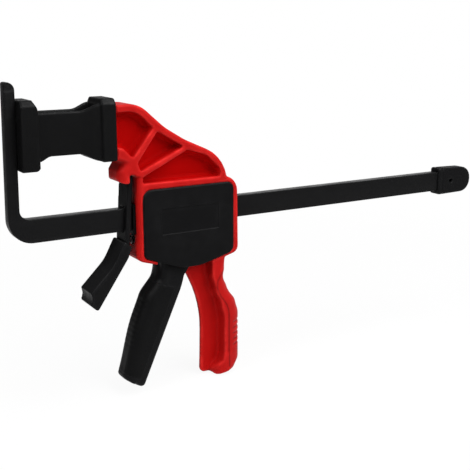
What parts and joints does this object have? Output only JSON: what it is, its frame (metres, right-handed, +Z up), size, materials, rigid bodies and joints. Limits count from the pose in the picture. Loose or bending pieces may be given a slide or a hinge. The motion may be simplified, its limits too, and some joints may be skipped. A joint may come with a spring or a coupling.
{
  "type": "guide rail clamp",
  "caption": "One-handed trigger clamp for guide rails: a bent flat bar with an upright tongue, a sliding head with ribbed arm and jaw pad, squeeze trigger and release lever.",
  "frame": {"origin": "throat corner: clamping face of the leg, top face of the bar, middle plane", "axes": "+X along the bar towards the end cap, +Y away from the near cover, +Z up along the leg"},
  "size_m": [0.3199, 0.021, 0.1737],
  "materials": {
    "blackened_steel": "satin",
    "black_plastic": "fine grain",
    "red_plastic": "semi gloss",
    "black_rubber": "matt",
    "bright_steel": "ground",
    "dark_steel": "oiled",
    "spring_steel": "drawn"
  },
  "bodies": {
    "bar": {"clamp_bar": "blackened_steel", "end_cap": "black_plastic", "end_cap_pin": "bright_steel"},
    "head": {"body_frame": "red_plastic", "near_cover": "black_plastic", "far_cover": "black_plastic", "jaw_pad": "black_rubber", "front_bar_guide": "black_plastic", "rear_bar_guide": "black_plastic", "trigger_pivot_pin": "bright_steel", "drive_spring": "spring_steel", "brake_spring": "spring_steel"},
    "trigger": {"trigger": "black_plastic", "trigger_grip": "black_rubber"},
    "drive": {"drive_plate_front": "dark_steel", "drive_plate_rear": "dark_steel"},
    "brake": {"brake_plate": "dark_steel", "release_lever": "black_plastic"}
  },
  "joints": [
    {"name": "head_slide", "type": "slide", "parent": "bar", "child": "head", "axis": [1, 0, 0], "range_m": [0, 0.16]},
    {"name": "trigger_swing", "type": "hinge", "parent": "head", "child": "trigger", "pos_m": [0.084, 0, 0.0046], "axis": [0, -1, 0], "range_deg": [0, 18], "stiffness_Nm_per_rad": 0.7, "springref_deg": -8.02},
    {"name": "drive_push", "type": "slide", "parent": "head", "child": "drive", "axis": [1, 0, 0], "range_m": [0, 0.007], "deforming": ["drive_spring"]},
    {"name": "brake_release", "type": "hinge", "parent": "head", "child": "brake", "pos_m": [0.0597, 0, 0.0172], "axis": [0, -1, 0], "range_deg": [0, 3.4], "stiffness_Nm_per_rad": 0.6, "springref_deg": -9.74, "deforming": ["brake_spring"]}
  ],
  "couplings": [
    {"joint": "drive_push", "follows": "trigger_swing", "m_per_rad": 0.0221}
  ]
}
